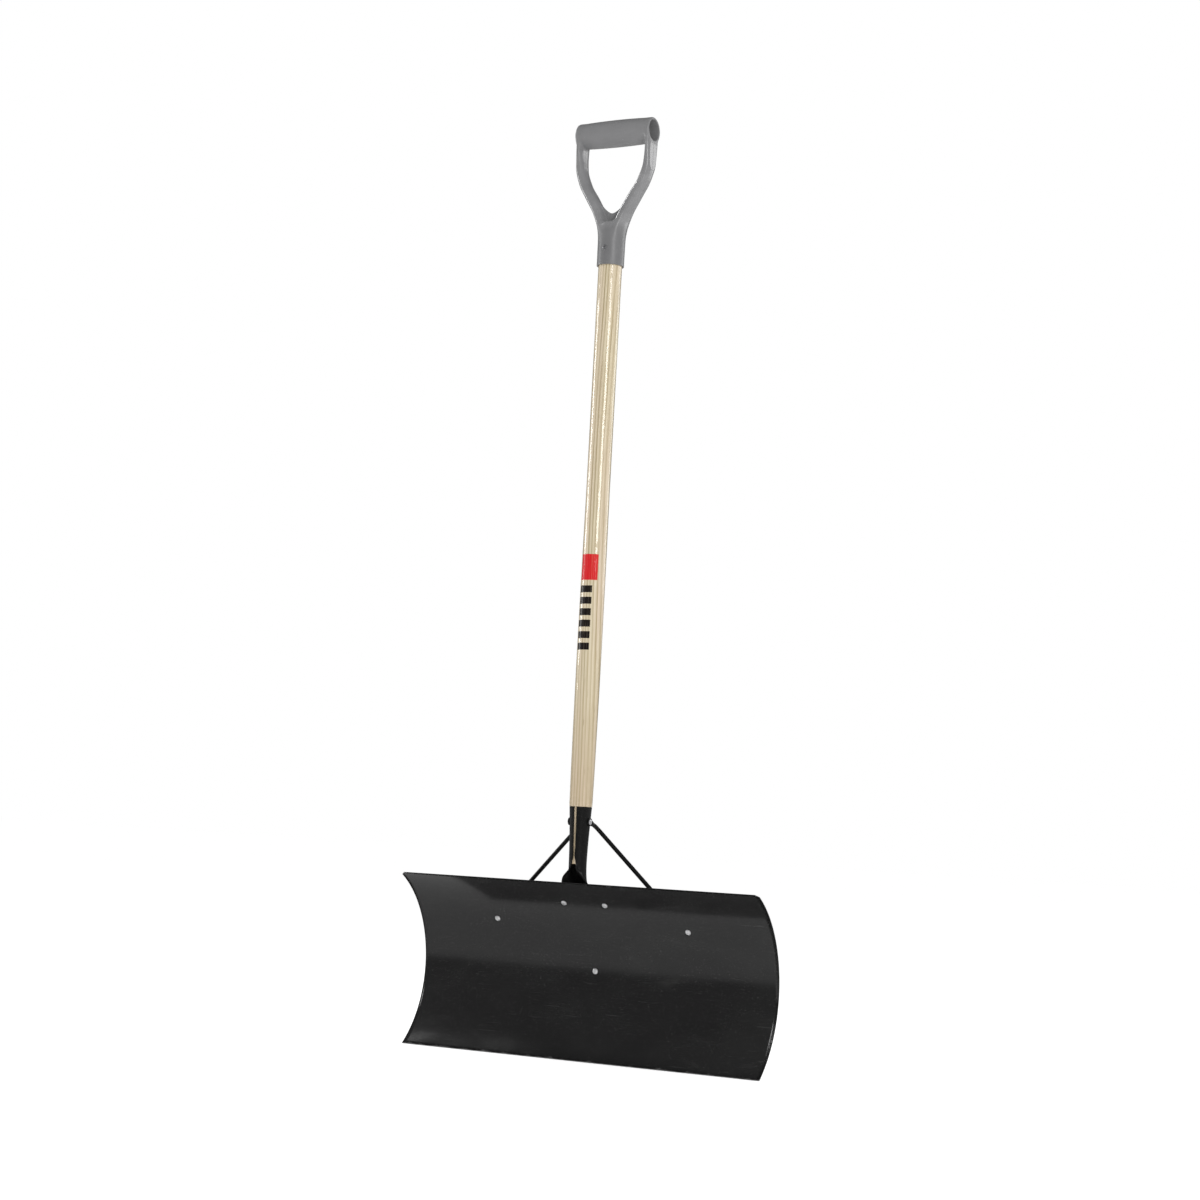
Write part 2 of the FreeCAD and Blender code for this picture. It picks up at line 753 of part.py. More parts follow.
def flattened_end(middle, flat, normal, knee, run):
    """End of a rod hammered flat: an eye, and the rod's change from flat to round.

    The eye lies square to `normal` with the rod leaving it along `flat`. At `knee` from the
    middle of the eye the rod turns to the direction `run`."""
    thickness = amount("eye_thickness")
    eye_radius = amount("eye_radius")
    eye = Part.makeCylinder(eye_radius, thickness, middle - normal * (thickness / 2), normal)
    bury = 0.2
    round_radius = amount("rod_radius") - bury
    flat_half = thickness / 2 - bury
    half_way = (flat + run).normalize()
    # distance past the eye's middle, direction, half width, half thickness
    stations = (
        (3.7, flat, 4.3, flat_half),
        (knee, half_way, 4.1, flat_half * 1.25),
        (knee + 5, run, 3.5, flat_half * 2.4),
        (knee + 10, run, round_radius + bury / 4, round_radius),
    )
    rings = []
    for distance, along, half_width, half_thickness in stations:
        before_knee = min(distance, knee)
        point = middle + flat * before_knee + run * (distance - before_knee)
        side = along.cross(normal).normalize()
        up = side.cross(along).normalize()
        widest = point + side * half_width
        thinnest = point + up * half_thickness
        rings.append(Part.Wire(Part.Ellipse(widest, thinnest, point).toShape()))
    return eye.fuse(Part.makeLoft(rings, True, False))


def build_braces():
    """Right brace, and the left one as its mirror image."""
    thickness = amount("eye_thickness")
    level = amount("cross_rivet_level")
    outer_normal = Vector(1, 0, 0)
    eye = Vector(eye_face() - thickness / 2, 0, level)
    elbow = Vector(
        amount("rod_bend_reach"), amount("rod_bend_back"), amount("rod_bend_level")
    )
    angle = amount("brace_rivet_angle")
    normal = outward(angle)
    lift = amount("blade_sheet") / 2 + amount("seat_clearance") + thickness / 2
    pad = on_blade(angle, amount("brace_rivet_reach"), lift)
    run = elbow - pad
    flat_direction = (run - normal * run.dot(normal)).normalize()
    pad_knee = 8
    ankle = pad + flat_direction * pad_knee
    down = (ankle - elbow).normalize()
    eye_knee = 7
    leave = elbow - eye
    eye_flat = (leave - outer_normal * leave.dot(outer_normal)).normalize()
    wrist = eye + eye_flat * eye_knee
    leave = (elbow - wrist).normalize()
    # The round part starts a little inside each tapered end.
    taper = 9
    rod = rod_run(wrist + leave * taper, elbow, ankle - down * taper, amount("rod_bend_radius"))
    eye_end = flattened_end(eye, eye_flat, outer_normal, eye_knee, leave)
    pad_end = flattened_end(pad, flat_direction, normal, pad_knee, down * -1)
    solid = rod.fuse([eye_end, pad_end])
    reach = 12
    hole = amount("cross_rivet_radius") + amount("hole_clearance")
    start = eye - outer_normal * (reach / 2)
    solid = solid.cut(Part.makeCylinder(hole, reach, start, outer_normal))
    hole = amount("rivet_radius") + amount("hole_clearance")
    start = pad - normal * (reach / 2)
    solid = solid.cut(Part.makeCylinder(hole, reach, start, normal))
    feature("brace_right", solid)
    feature("brace_left", solid.mirror(Vector(), outer_normal))


# --- Rivets and screw ----------------------------------------------------------------------


def turned_solid(profile):
    """Solid of revolution about +Z from a closed list of (radius, level) corners.

    A corner with a third entry bulges out to that (radius, level) on the way to the next."""
    edges = []
    for index, corner in enumerate(profile):
        following = profile[(index + 1) % len(profile)]
        start = Vector(corner[0], 0, corner[1])
        end = Vector(following[0], 0, following[1])
        if len(corner) == 2:
            edges.append(Part.LineSegment(start, end).toShape())
        else:
            through = Vector(corner[2][0], 0, corner[2][1])
            edges.append(Part.Arc(start, through, end).toShape())
    face = Part.Face(Part.Wire(edges))
    return face.revolve(Vector(), Vector(0, 0, 1), 360)


def dome(radius, height, base=0.0):
    """Point halfway up a round cap that rises from `radius` at `base` to the axis."""
    ball = (radius * radius + height * height) / (2 * height)
    half_angle = math.asin(radius / ball) / 2
    return (ball * math.sin(half_angle), base + height - ball * (1 - math.cos(half_angle)))


def blind_rivet(grip):
    """Tubular rivet: domed head at z < 0, sheets from 0 to `grip`, swollen blind end beyond."""
    shank = amount("rivet_radius")
    gap = 0.03
    core = amount("mandrel_radius") + gap
    head = amount("rivet_head_radius")
    height = amount("rivet_head_height")
    bulb = amount("rivet_bulb_radius")
    top = grip + amount("rivet_bulb_height")
    brim = 0.4
    crown = head * 0.42
    return turned_solid(
        [
            (core, -height),
            (crown, -height, (head * 0.8, -height * 0.74)),
            (head, -brim),
            (head, 0),
            (shank, 0),
            (shank, grip, (bulb, grip + amount("rivet_bulb_height") * 0.45)),
            (shank, top),
            (core, top),
        ]
    )


def mandrel(grip):
    """Broken-off pin left inside a blind rivet, with its ball end beyond the bulb."""
    pin = amount("mandrel_radius")
    ball = amount("mandrel_ball_radius")
    depth = amount("mandrel_ball_height")
    recess = 0.5
    gap = 0.02
    flat = 0.6
    start = recess - amount("rivet_head_height")
    neck = grip + amount("rivet_bulb_height") + gap
    return turned_solid(
        [
            (0, start),
            (pin, start),
            (pin, neck),
            (ball, neck, (ball * 0.86, neck + depth * 0.69)),
            (flat, neck + depth),
            (0, neck + depth),
        ]
    )


def seated(solid, seat, direction):
    """Copy of a turned solid with its own origin at seat and its +Z along direction."""
    copy = solid.copy()
    copy.Placement = Placement(seat, Rotation(Vector(0, 0, 1), direction))
    return copy


def build_blade_rivets():
    stand_off = 0.08
    brow = amount("blade_sheet") / 2 + stand_off
    slack = 0.2
    seam = amount("blade_sheet") + amount("seat_clearance") + slack
    frog_grip = seam + amount("socket_sheet")
    brace_grip = seam + amount("eye_thickness")
    angle = amount("brace_rivet_angle")
    reach = amount("brace_rivet_reach")
    brace_spots = [(on_blade(angle, side * reach, 0), outward(angle)) for side in (-1, 1)]
    sets = (
        ("socket_rivets", "socket_rivet_mandrels", rivet_spots(), frog_grip),
        ("brace_rivets", "brace_rivet_mandrels", brace_spots, brace_grip),
    )
    for rivet_label, mandrel_label, spots, grip in sets:
        for label, solid in ((rivet_label, blind_rivet(grip)), (mandrel_label, mandrel(grip))):
            copies = [seated(solid, seat - way * brow, way) for seat, way in spots]
            feature(label, Part.makeCompound(copies))


def build_cross_rivet():
    shank = amount("cross_rivet_radius")
    head = amount("cross_head_radius")
    height = amount("cross_head_height")
    level = amount("cross_rivet_level")
    slack = 0.1
    half = eye_face() + slack
    across, rise = dome(head, height, half)
    solid = turned_solid(
        [
            (0, -half - height, (across, -rise)),
            (head, -half),
            (shank, -half),
            (shank, half),
            (head, half, (across, rise)),
            (0, half + height),
        ]
    )
    feature("cross_rivet", seated(solid, Vector(0, 0, level), Vector(1, 0, 0)))


def build_grip_screw():
    gap = 0.02
    wall = amount("collar_top_radius") + gap
    shank = amount("screw_shank_radius") - gap
    head = amount("screw_head_radius")
    height = amount("screw_head_height")
    length = amount("screw_length")
    brim = 0.35
    point = 3
    solid = turned_solid(
        [
            (0, -length),
            (shank, point - length),
            (shank, 0),
            (head, 0),
            (head, brim, dome(head, height - brim, brim)),
            (0, height),
        ]
    )
    place = Vector(0, -wall, amount("screw_level"))
    feature("grip_screw", seated(solid, place, Vector(0, -1, 0)))


# --- Build, check and write ----------------------------------------------------------------

# Solids in each node.
NODES = {
    "blade": 1,
    "handle_socket": 1,
    "handle_shaft": 1,
    "d_grip": 1,
    "grip_screw": 1,
    "brace_left": 1,
    "brace_right": 1,
    "cross_rivet": 1,
    "socket_rivets": 3,
    "socket_rivet_mandrels": 3,
    "brace_rivets": 2,
    "brace_rivet_mandrels": 2,
}


def check_model():
    for item in doc.Objects:
        if "Invalid" in item.State or "Error" in item.State:
            raise RuntimeError("%s is %s" % (item.Name, item.State))
    for name, count in NODES.items():
        shape = doc.getObjectsByLabel(name)[0].Shape
        if shape.isNull() or not shape.isValid() or len(shape.Solids) != count:
            raise RuntimeError("%s doesn't have %d valid solids" % (name, count))


def write_parts():
    os.makedirs("parts", exist_ok=True)
    for name in NODES:
        doc.getObjectsByLabel(name)[0].Shape.exportStep("parts/%s.step" % name)


build_blade()
build_socket()
build_shaft()
build_grip()
build_braces()
build_blade_rivets()
build_cross_rivet()
build_grip_screw()
doc.recompute()
check_model()
write_parts()
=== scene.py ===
import math

import bpy
import numpy as np
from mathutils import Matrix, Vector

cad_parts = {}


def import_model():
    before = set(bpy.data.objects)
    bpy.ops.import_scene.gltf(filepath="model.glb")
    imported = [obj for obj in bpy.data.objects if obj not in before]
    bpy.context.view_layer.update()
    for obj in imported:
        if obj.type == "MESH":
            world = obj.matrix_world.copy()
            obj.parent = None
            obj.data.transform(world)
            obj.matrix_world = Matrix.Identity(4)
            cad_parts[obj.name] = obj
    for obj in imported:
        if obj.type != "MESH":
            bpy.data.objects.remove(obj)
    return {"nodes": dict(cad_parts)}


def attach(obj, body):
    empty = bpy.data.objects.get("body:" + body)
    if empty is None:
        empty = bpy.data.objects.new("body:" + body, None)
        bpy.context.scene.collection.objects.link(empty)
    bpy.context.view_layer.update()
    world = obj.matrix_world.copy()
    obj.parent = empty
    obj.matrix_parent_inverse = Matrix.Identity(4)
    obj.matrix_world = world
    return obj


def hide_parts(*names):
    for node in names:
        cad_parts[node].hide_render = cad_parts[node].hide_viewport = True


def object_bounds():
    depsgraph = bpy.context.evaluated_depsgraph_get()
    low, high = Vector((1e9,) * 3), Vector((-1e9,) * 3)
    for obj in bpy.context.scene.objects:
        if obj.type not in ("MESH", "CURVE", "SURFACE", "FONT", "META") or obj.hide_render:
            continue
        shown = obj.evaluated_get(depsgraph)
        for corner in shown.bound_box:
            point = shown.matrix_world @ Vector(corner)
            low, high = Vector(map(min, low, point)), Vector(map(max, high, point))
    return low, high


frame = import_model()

import openvdb
from mathutils import Matrix, Vector

CAD_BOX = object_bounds()
NODES = frame["nodes"]
MM = 0.001

# Sizes in millimetres, in the frame: +Z up the handle, hollow face towards -Y.
AXIS_Y = -19.0  # the handle's axis stands this far in front of the cutting edge
TENON_FOOT = 290.9  # lowest level of the wood's full tenon, in the socket
SHOULDER = 375.0  # step from the tenon up to the full shaft
COLLAR_FOOT = 1194.0
SCREW_LEVEL = 1220.0
SHAFT_TOP = 1250.0
TUBE_LEVEL = 1401.0  # middle of the hand tube
TUBE_END = 64.0  # half the hand tube's length
TUBE_BORE = 16.0
COLLAR_BORE = 18.1


# --- Mesh helpers --------------------------------------------------------------------------


def mesh_object(name, points, faces, material, record_slot, *nodes):
    """Smooth mesh piece from points in millimetres. It rides on root and replaces nodes."""
    mesh = bpy.data.meshes.new(name)
    mesh.from_pydata(np.asarray(points) * MM, [], [list(map(int, face)) for face in faces])
    mesh.update()
    mesh.polygons.foreach_set("use_smooth", [True] * len(mesh.polygons))
    mesh.materials.append(material)
    piece = bpy.data.objects.new(name, mesh)
    bpy.context.scene.collection.objects.link(piece)
    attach(piece, "root")
    if nodes:
        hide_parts(*nodes)
    return piece


def ease(value):
    value = np.clip(value, 0.0, 1.0)
    return value * value * (3 - 2 * value)


def smooth_curve(knots, values, places):
    """Cubic through the knots with slopes that never overshoot the values."""
    knots = np.asarray(knots, float)
    values = np.asarray(values, float)
    span = np.diff(knots)
    rise = np.diff(values) / span
    slope = np.zeros(len(knots))
    same = rise[1:] * rise[:-1] > 0
    with np.errstate(divide="ignore", invalid="ignore"):
        middle = 2 / (1 / rise[1:] + 1 / rise[:-1])
    slope[1:-1] = np.where(same, middle, 0)
    slope[0] = rise[0]
    slope[-1] = rise[-1]
    places = np.clip(places, knots[0], knots[-1])
    which = np.clip(np.searchsorted(knots, places, side="right") - 1, 0, len(span) - 1)
    wide = span[which]
    part = (places - knots[which]) / wide
    rest = 1 - part
    low = values[which] * (1 + 2 * part) + wide * slope[which] * part
    high = values[which + 1] * (1 + 2 * rest) - wide * slope[which + 1] * rest
    return rest * rest * low + part * part * high


def sheet_faces(base, rows, columns, flip):
    """Quads of a grid of points that starts at point number base."""
    faces = []
    for row in range(rows - 1):
        for column in range(columns - 1):
            a = base + row * columns + column
            quad = [a, a + 1, a + columns + 1, a + columns]
            faces.append(quad[::-1] if flip else quad)
    return faces


def belt_faces(first, second):
    """Quads between two closed rings of point numbers."""
    after = list(first[1:]) + [first[0]]
    beyond = list(second[1:]) + [second[0]]
    return [list(quad) for quad in zip(first, second, beyond, after)]


def turned_faces(rings, around, flip=False):
    """Faces of a turned piece: a first point, rings of points, then a last point."""
    faces = []
    last = 1 + rings * around
    for number in range(around):
        after = (number + 1) % around
        faces.append([0, 1 + after, 1 + number])
        faces.append([last, last - around + number, last - around + after])
        for ring in range(rings - 1):
            a = 1 + ring * around
            faces.append([a + number, a + after, a + around + after, a + around + number])
    return [face[:1] + face[:0:-1] for face in faces] if flip else faces


# --- Materials -----------------------------------------------------------------------------


class Paint:
    """Short names for building one procedural material."""

    def __init__(self, name):
        self.material = bpy.data.materials.new(name)
        self.material.use_nodes = True
        self.tree = self.material.node_tree
        self.shader = self.tree.nodes["Principled BSDF"]
        self.place = self.tree.nodes.new("ShaderNodeTexCoord").outputs["Object"]

    def link(self, source, target):
        if isinstance(source, bpy.types.NodeSocket):
            self.tree.links.new(source, target)
        else:
            target.default_value = source

    def set(self, **inputs):
        for name, value in inputs.items():
            self.link(value, self.shader.inputs[name.replace("_", " ")])

    def math(self, operation, *values):
        node = self.tree.nodes.new("ShaderNodeMath")
        node.operation = operation
        for value, socket in zip(values, node.inputs):
            self.link(value, socket)
        return node.outputs[0]

    def times(self, first, second):
        return self.math("MULTIPLY", first, second)

    def add_part(self, base, value, part):
        """base + value * part."""
        return self.math("MULTIPLY_ADD", value, part, base)

    def vector(self, operation, *values):
        node = self.tree.nodes.new("ShaderNodeVectorMath")
        node.operation = operation
        for value, socket in zip(values, node.inputs):
            self.link(value, socket)
        return node.outputs["Value" if operation == "LENGTH" else "Vector"]

    def split(self, vector):
        node = self.tree.nodes.new("ShaderNodeSeparateXYZ")
        self.link(vector, node.inputs[0])
        return list(node.outputs)

    def join(self, x, y, z):
        node = self.tree.nodes.new("ShaderNodeCombineXYZ")
        for value, socket in zip((x, y, z), node.inputs):
            self.link(value, socket)
        return node.outputs[0]

    def noise(self, scale, stretch=(1, 1, 1), detail=2.0, rough=0.5, warp=0.0, place=None):
        place = self.vector("MULTIPLY", place or self.place, stretch)
        node = self.tree.nodes.new("ShaderNodeTexNoise")
        self.link(place, node.inputs["Vector"])
        node.inputs["Scale"].default_value = scale
        node.inputs["Detail"].default_value = detail
        node.inputs["Roughness"].default_value = rough
        node.inputs["Distortion"].default_value = warp
        return node.outputs["Fac"]

    def spread(self, value, low, high, out_low=0.0, out_high=1.0):
        """Smooth step from out_low to out_high as the value goes from low to high."""
        node = self.tree.nodes.new("ShaderNodeMapRange")
        node.interpolation_type = "SMOOTHSTEP"
        for number, given in enumerate((value, low, high, out_low, out_high)):
            self.link(given, node.inputs[number])
        return node.outputs[0]

    def band(self, value, low, high, soft):
        """1 between low and high, falling to 0 over soft outside."""
        rise = self.spread(value, low - soft, low)
        fall = self.spread(value, high, high + soft, 1.0, 0.0)
        return self.times(rise, fall)

    def mix(self, share, first, second):
        """Colour that goes from first to second as the share goes from 0 to 1."""
        node = self.tree.nodes.new("ShaderNodeMix")
        node.data_type = "RGBA"
        self.link(share, node.inputs["Factor"])
        for value, name in ((first, "A"), (second, "B")):
            socket = next(s for s in node.inputs if s.name == name and s.type == "RGBA")
            self.link(value, socket)
        return next(s for s in node.outputs if s.type == "RGBA")

    def bump(self, height, depth, under=None):
        """Bump of the given depth in metres for a height of 1."""
        node = self.tree.nodes.new("ShaderNodeBump")
        node.inputs["Strength"].default_value = 1.0
        node.inputs["Distance"].default_value = depth
        self.link(height, node.inputs["Height"])
        if under is not None:
            self.link(under, node.inputs["Normal"])
        return node.outputs[0]


def colour(red, green, blue):
    """Linear colour from 0 to 255 display values."""

    def linear(value):
        value = value / 255
        return value / 12.92 if value <= 0.04045 else ((value + 0.055) / 1.055) ** 2.4

    return (linear(red), linear(green), linear(blue), 1.0)


def grey(value):
    return (value, value, value, 1.0)


def growth_rings(p, x, y, z):
    """Place within a growth ring, 0 to 1, round a wandering pith outside the shaft."""
    ring_width = 0.0048
    waver_depth = 0.0046
    pith_x, pith_y = -0.068, -0.038
    along = p.join(0.0, 0.0, z)
    wander_x = p.noise(1.0, (1, 1, 1.3), 1.0, place=p.vector("ADD", along, (3.1, 0, 0)))
    wander_y = p.noise(1.0, (1, 1, 1.7), 1.0, place=p.vector("ADD", along, (0, 7.7, 0)))
    off_x = p.math("SUBTRACT", x, p.add_part(pith_x, wander_x, 0.03))
    off_y = p.math("SUBTRACT", y, p.add_part(pith_y, wander_y, 0.024))
    reach = p.vector("LENGTH", p.join(off_x, off_y, 0.0))
    waver = p.noise(40.0, (1, 1, 0.06), 3.0, 0.55)
    reach = p.add_part(reach, waver, waver_depth)
    return p.math("FRACT", p.math("DIVIDE", reach, ring_width))


def ash_colour(p, z, late, fibre, streak, pore):
    """Pale ash: darker late wood, fibres, pores and a few flecks, duller near the socket."""
    cloud = p.noise(9.0, (1, 1, 0.25), 2.0)
    tint = p.noise(55.0, (1, 1, 0.05), 1.0, place=p.vector("ADD", p.place, (0, 0, 9)))
    light = p.mix(p.spread(tint, 0.35, 0.65), colour(205, 194, 168), colour(208, 192, 172))
    light = p.mix(p.spread(cloud, 0.3, 0.7, 0.0, 0.55), light, colour(192, 181, 151))
    light = p.mix(p.spread(z, 0.4, 0.62, 0.45, 0.0), light, colour(178, 158, 130))
    dark = p.mix(p.spread(cloud, 0.35, 0.7), colour(158, 141, 108), colour(140, 124, 92))
    depth = p.times(late, p.spread(streak, 0.3, 0.75, 0.4, 1.0))
    shade = p.mix(depth, light, dark)
    shade = p.mix(p.spread(fibre, 0.36, 0.64, 0.0, 0.34), shade, colour(158, 138, 100))
    shade = p.mix(p.times(pore, 0.75), shade, colour(128, 108, 74))
    speck = p.noise(70.0, (1, 1, 0.12), 0.0, place=p.vector("ADD", p.place, (0, 2, 4)))
    fleck = p.times(p.spread(speck, 0.79, 0.83), 0.7)
    return p.mix(fleck, shade, colour(112, 98, 66))


def printed_mark(p, x, y, z):
    """Shares of ink, with ragged edges: a patch, and a column of bars below it."""
    patch_foot, patch_top = 0.7135, 0.752
    bars_foot, bars_top = 0.6085, 0.7055
    # Angles from the front, towards the right, in degrees.
    patch_left, patch_right = -43.0, 49.0
    bars_left, bars_right = -44.0, 26.0
    bar_pitch = 0.0172
    bar_share = 0.6
    side_blur = 1.2
    angle = p.math("DEGREES", p.math("ARCTAN2", x, p.times(y, -1.0)))
    ragged = p.math("SUBTRACT", p.noise(700.0, (1, 1, 1), 2.0), 0.5)
    level = p.add_part(z, ragged, 0.0009)
    turn = p.add_part(angle, ragged, 2.4)
    patch = p.times(
        p.band(level, patch_foot, patch_top, 0.0004), p.band(turn, patch_left, patch_right, side_blur)
    )
    bars = p.times(
        p.band(level, bars_foot, bars_top, 0.0003), p.band(turn, bars_left, bars_right, side_blur)
    )
    cycle = p.math("FRACT", p.math("DIVIDE", p.math("SUBTRACT", level, bars_foot), bar_pitch))
    bars = p.times(bars, p.spread(cycle, bar_share, bar_share + 0.02, 1.0, 0.0))
    return patch, bars


def wood():
    """Lacquered ash with growth rings, fibres and pores, and a plain printed mark."""
    p = Paint("shaft_wood")
    x, y, z = p.split(p.place)
    y = p.math("SUBTRACT", y, AXIS_Y * MM)
    ring = growth_rings(p, x, y, z)
    late = p.times(p.spread(ring, 0.35, 0.86), p.spread(ring, 0.9, 1.0, 1.0, 0.0))
    fibre = p.noise(1100.0, (1, 1, 0.014), 3.0, 0.6)
    streak = p.noise(260.0, (1, 1, 0.01), 2.0, 0.5)
    # Pores: short dark dashes in the open early wood.
    dash = p.noise(900.0, (1, 1, 0.05), 1.0, 0.4, place=p.vector("ADD", p.place, (5, 0, 0)))
    pore = p.times(p.spread(dash, 0.66, 0.72), p.spread(ring, 0.0, 0.3, 1.0, 0.0))
    shade = ash_colour(p, z, late, fibre, streak, pore)
    patch, bars = printed_mark(p, x, y, z)
    # The ink is thinner on the raised fibres, and less glossy than the lacquer.
    thin = p.spread(fibre, 0.52, 0.72, 1.0, 0.8)
    shade = p.mix(p.times(patch, thin), shade, colour(192, 22, 30))
    shade = p.mix(p.times(bars, thin), shade, colour(22, 16, 16))
    ink = p.math("MAXIMUM", patch, bars)
    relief = p.add_part(p.add_part(fibre, late, 0.35), pore, -1.6)
    wavy = p.noise(22.0, (1, 1, 0.6), 3.0)
    p.set(
        Base_Color=shade,
        Roughness=p.spread(late, 0, 1, 0.5, 0.4),
        Normal=p.bump(relief, 0.00003),
        Coat_Weight=p.add_part(0.85, ink, -0.7),
        Specular_IOR_Level=p.add_part(0.5, ink, -0.35),
        Coat_Roughness=p.spread(streak, 0.3, 0.7, 0.03, 0.1),
        Coat_Normal=p.bump(wavy, 0.0022, p.bump(relief, 0.00002)),
        Coat_IOR=1.5,
    )
    return p.material


def powder_coat(name, tone, rough, scuffs, sheen=0.5):
    """Satin coat on steel: fine orange peel, slow waviness, faint marks and dust."""
    bare_steel = grey(0.2)
    p = Paint(name)
    z = p.split(p.place)[2]
    peel = p.noise(900.0, detail=2.0)
    wave = p.noise(5.0, (1, 0.6, 0.8), 1.0)
    smear = p.noise(7.0, (1, 1, 2.2), 4.0, 0.6, 0.4)
    rub = p.noise(34.0, (0.35, 1, 1.6), 5.0, 0.7, 0.6)
    hair = p.noise(420.0, (0.02, 1, 1), 1.0, 0.4)
    grit = p.noise(1500.0, detail=0.0)
    mark = p.times(p.spread(rub, 0.56, 0.78), p.spread(smear, 0.42, 0.62))
    scratch = p.times(p.spread(hair, 0.7, 0.74), p.spread(rub, 0.5, 0.62))
    worn = p.times(mark, scuffs)
    shade = p.mix(p.spread(smear, 0.3, 0.7), (tone, tone, tone * 1.01, 1), grey(tone * 1.3))
    shade = p.mix(p.times(worn, 0.1), shade, (0.12, 0.12, 0.118, 1))
    shade = p.mix(p.times(scratch, 0.1 * scuffs), shade, bare_steel)
    dust = p.times(p.spread(grit, 0.8, 0.84), 0.5 * scuffs)
    shade = p.mix(dust, shade, (0.35, 0.34, 0.33, 1))
    # The lowest few millimetres are rubbed towards bare steel.
    ragged = p.add_part(z, p.noise(60.0, (1, 1, 1), 3.0), -0.009)
    edge = p.times(p.spread(ragged, -0.0045, -0.0025, 1.0, 0.0), scuffs)
    shade = p.mix(p.times(edge, 0.5), shade, bare_steel)
    roughness = p.spread(smear, 0.25, 0.75, rough - 0.04, rough + 0.05)
    p.set(
        Base_Color=shade,
        Roughness=p.add_part(roughness, worn, 0.08),
        Specular_IOR_Level=sheen,
        Normal=p.bump(peel, 0.000012, p.bump(wave, 0.0016)),
    )
    return p.material


def moulded_plastic():
    """Mid grey plastic with a fine moulded grain, a parting line, and painted shade that darkens the
    collar.
    """
    p = Paint("grip_plastic")
    y, z = p.split(p.place)[1:]
    grain = p.noise(1600.0, detail=3.0, rough=0.6)
    cloud = p.noise(30.0, detail=3.0, rough=0.6)
    flow = p.noise(16.0, (1, 1, 0.4), 2.0, 0.5, 1.2)
    speck = p.spread(p.noise(620.0, detail=1.0), 0.74, 0.8)
    # The hand tube is darker and duller than the arms. The collar is duller too, and its colour is
    # darkened with painted shade.
    tube = p.spread(z, 1.3775, 1.3815)
    collar = p.spread(z, 1.246, 1.264, 1.0, 0.0)
    shade = p.mix(p.spread(cloud, 0.3, 0.7), colour(116, 116, 117), colour(126, 126, 127))
    shade = p.mix(p.spread(flow, 0.5, 0.8, 0.0, 0.3), shade, colour(138, 138, 139))
    shade = p.mix(p.times(tube, 0.55), shade, colour(112, 112, 113))
    # Painted shade: the collar's colour is darkened towards a deeper grey.
    shade = p.mix(p.times(collar, 0.7), shade, colour(98, 98, 99))
    shade = p.mix(p.times(speck, 0.35), shade, colour(196, 196, 196))
    roughness = p.spread(cloud, 0.3, 0.7, 0.19, 0.27)
    roughness = p.add_part(roughness, tube, 0.2)
    roughness = p.add_part(roughness, collar, 0.16)
    # Parting line of the mould, halfway through the depth, above the collar.
    depth = p.math("ABSOLUTE", p.math("SUBTRACT", y, AXIS_Y * MM))
    line = p.times(p.spread(depth, 0.0001, 0.00045, 1.0, 0.0), p.spread(z, 1.27, 1.28))
    relief = p.bump(line, 0.00016, p.bump(grain, 0.00004))
    p.set(Base_Color=shade, Roughness=roughness, Specular_IOR_Level=0.5, Normal=relief)
    return p.material


def bright_metal(name, tone, rough):
    """Bare metal with fine marks and a little dullness."""
    dulled = 0.62
    p = Paint(name)
    z = p.split(p.place)[2]
    fine = p.noise(1440.0, detail=2.0)
    dull = p.noise(240.0, detail=3.0, rough=0.6)
    shade = p.mix(p.spread(dull, 0.35, 0.7), tone + (1,), tuple(v * dulled for v in tone) + (1,))
    # The grip's screw, high on the tool, is duller than the rest.
    high_up = p.spread(z, 1.0, 1.1)
    roughness = p.spread(dull, 0.3, 0.7, rough, rough + 0.2)
    p.set(
        Base_Color=p.mix(p.times(high_up, 0.85), shade, colour(104, 104, 106)),
        Metallic=0.55,
        Roughness=p.add_part(roughness, high_up, 0.15),
        Normal=p.bump(fine, 0.00003),
    )
    return p.material


WOOD = wood()
BLADE_PAINT = powder_coat("blade_paint", 0.0122, 0.14, 1.0)
SOCKET_PAINT = powder_coat("socket_paint", 0.006, 0.36, 0.5, 0.22)
BRACE_PAINT = powder_coat("brace_paint", 0.006, 0.38, 0.5, 0.2)
GRIP_PLASTIC = moulded_plastic()
ALUMINIUM = bright_metal("rivet_aluminium", (0.86, 0.86, 0.87), 0.22)
ZINC = bright_metal("zinc_plate", (0.7, 0.7, 0.72), 0.28)


# --- Blade ---------------------------------------------------------------------------------


